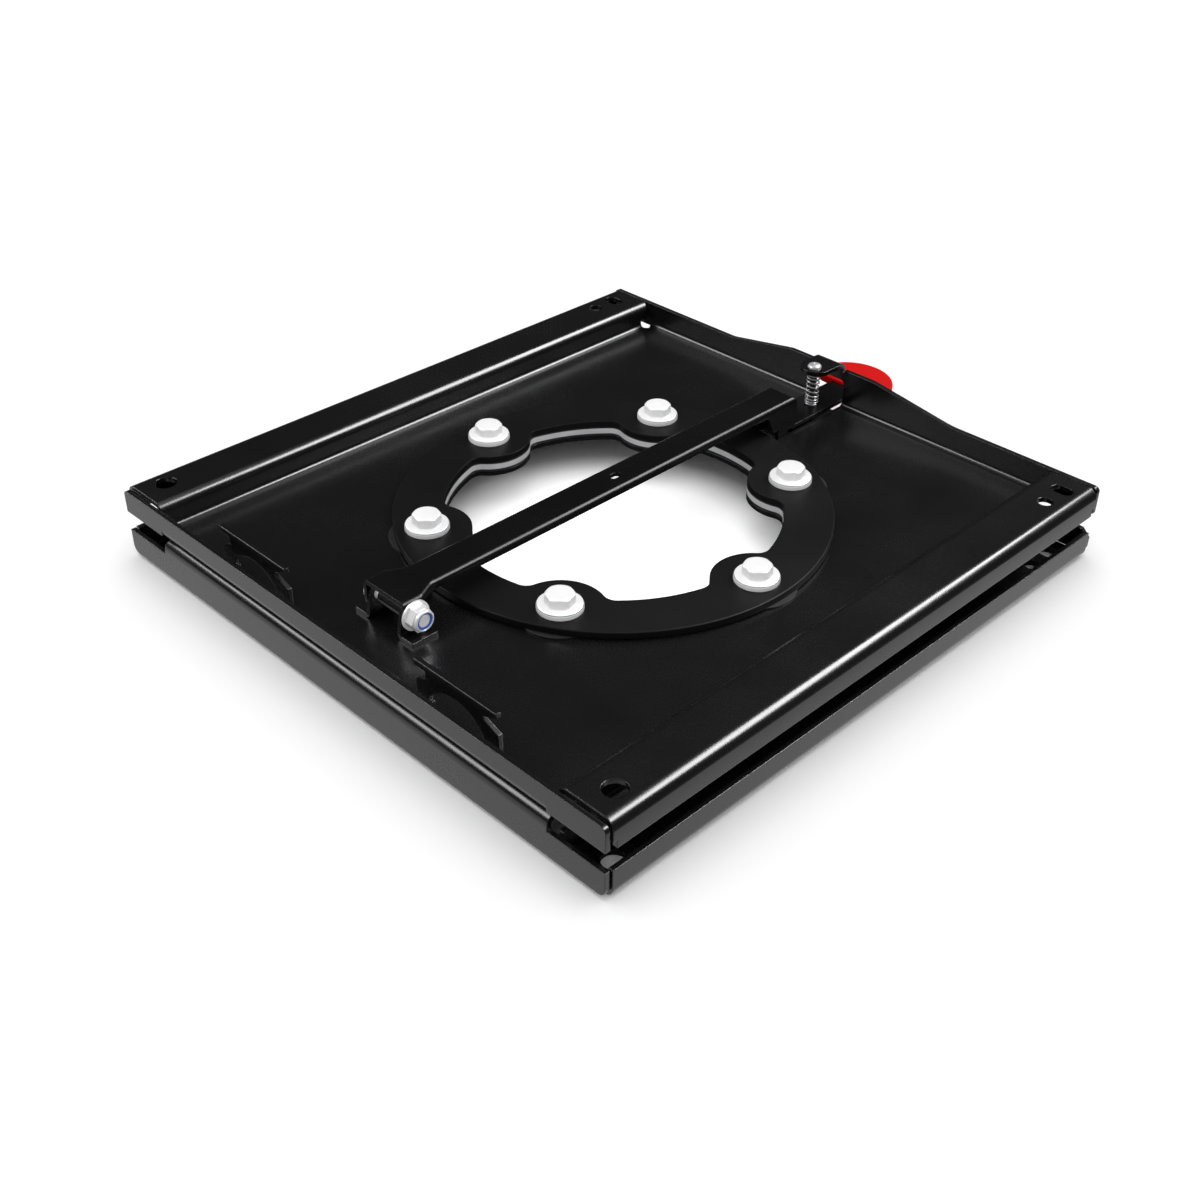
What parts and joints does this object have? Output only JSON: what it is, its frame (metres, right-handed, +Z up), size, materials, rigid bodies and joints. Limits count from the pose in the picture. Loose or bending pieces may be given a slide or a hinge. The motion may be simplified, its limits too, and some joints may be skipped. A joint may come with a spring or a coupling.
{
  "type": "swivel seat base",
  "caption": "Flat swivel base for a vehicle seat: two folded steel trays on a riveted ring stack, with a sprung lever and grip that lock the turn.",
  "frame": {"origin": "on the swivel axis, in the plane of the lower flanges' underside", "axes": "+Z up along the swivel axis, +Y towards the lever's grip, +X to the right when the grip is at the back"},
  "size_m": [0.4, 0.455, 0.0635],
  "materials": {
    "black_coat": "satin black powder coat",
    "slide_plastic": "plain black sliding plastic",
    "grey_zinc": "plain zinc plate",
    "bright_zinc": "bright zinc plate",
    "spring_steel": "bright spring wire",
    "red_grip": "smooth red plastic",
    "blue_nylon": "blue nylon"
  },
  "bodies": {
    "base": {"lower_tray": "black_coat", "lower_slide_ring": "slide_plastic", "spacer_ring": "grey_zinc", "upper_slide_ring": "slide_plastic", "clamp_ring": "black_coat", "ring_rivet_1": "bright_zinc", "ring_rivet_2": "bright_zinc", "ring_rivet_3": "bright_zinc", "ring_rivet_4": "bright_zinc", "ring_rivet_5": "bright_zinc", "ring_rivet_6": "bright_zinc"},
    "seat_side": {"upper_tray": "black_coat", "hook_bracket_left": "black_coat", "hook_bracket_right": "black_coat", "pivot_angle_left": "black_coat", "pivot_angle_right": "black_coat", "pivot_bolt": "bright_zinc", "pivot_nut": "bright_zinc", "nut_insert": "blue_nylon", "pivot_sleeve": "black_coat", "spring_screw": "bright_zinc", "spring": "spring_steel"},
    "lock_lever": {"lever": "black_coat", "lever_grip": "red_grip"}
  },
  "joints": [
    {"name": "swivel", "type": "hinge", "parent": "base", "child": "seat_side", "pos_m": [0, 0, 0.028], "axis": [0, 0, 1], "continuous": true},
    {"name": "lever_lift", "type": "hinge", "parent": "seat_side", "child": "lock_lever", "pos_m": [0, -0.163, 0.045], "axis": [1, 0, 0], "range_deg": [-0.6, 1.9], "stiffness_Nm_per_rad": 180, "springref_deg": -1.72, "deforming": ["spring"]}
  ]
}
